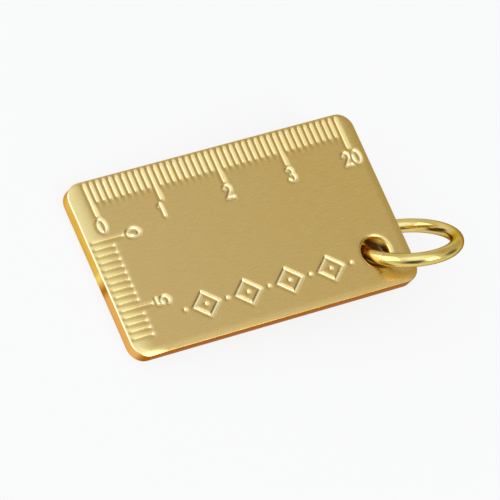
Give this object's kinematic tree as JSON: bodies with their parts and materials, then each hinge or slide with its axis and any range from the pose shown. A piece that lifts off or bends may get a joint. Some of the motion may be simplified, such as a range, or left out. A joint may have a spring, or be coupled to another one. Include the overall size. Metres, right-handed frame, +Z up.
{
  "type": "ruler tag",
  "caption": "Flat brass pocket ruler tag with graduated long and short edges, round corners and a wire jump ring swinging in its corner hole.",
  "frame": {"origin": "centre of the plate's flat underside", "axes": "+X along the long scale from its zero mark, +Y towards the edge that carries the long scale, +Z up out of the graduated face"},
  "size_m": [0.0537, 0.0254, 0.0119],
  "materials": {
    "satin_brass": "satin, finely brushed along the length, with polished edges",
    "polished_brass": "polished"
  },
  "bodies": {
    "plate": {"ruler_plate": "satin_brass"},
    "ring": {"jump_ring": "polished_brass"}
  },
  "joints": [
    {"name": "ring_swing", "type": "hinge", "parent": "plate", "child": "ring", "pos_m": [0.01753, -0.00745, 0.001], "axis": [1, 0, 0], "range_deg": [-81.5, 0]}
  ]
}
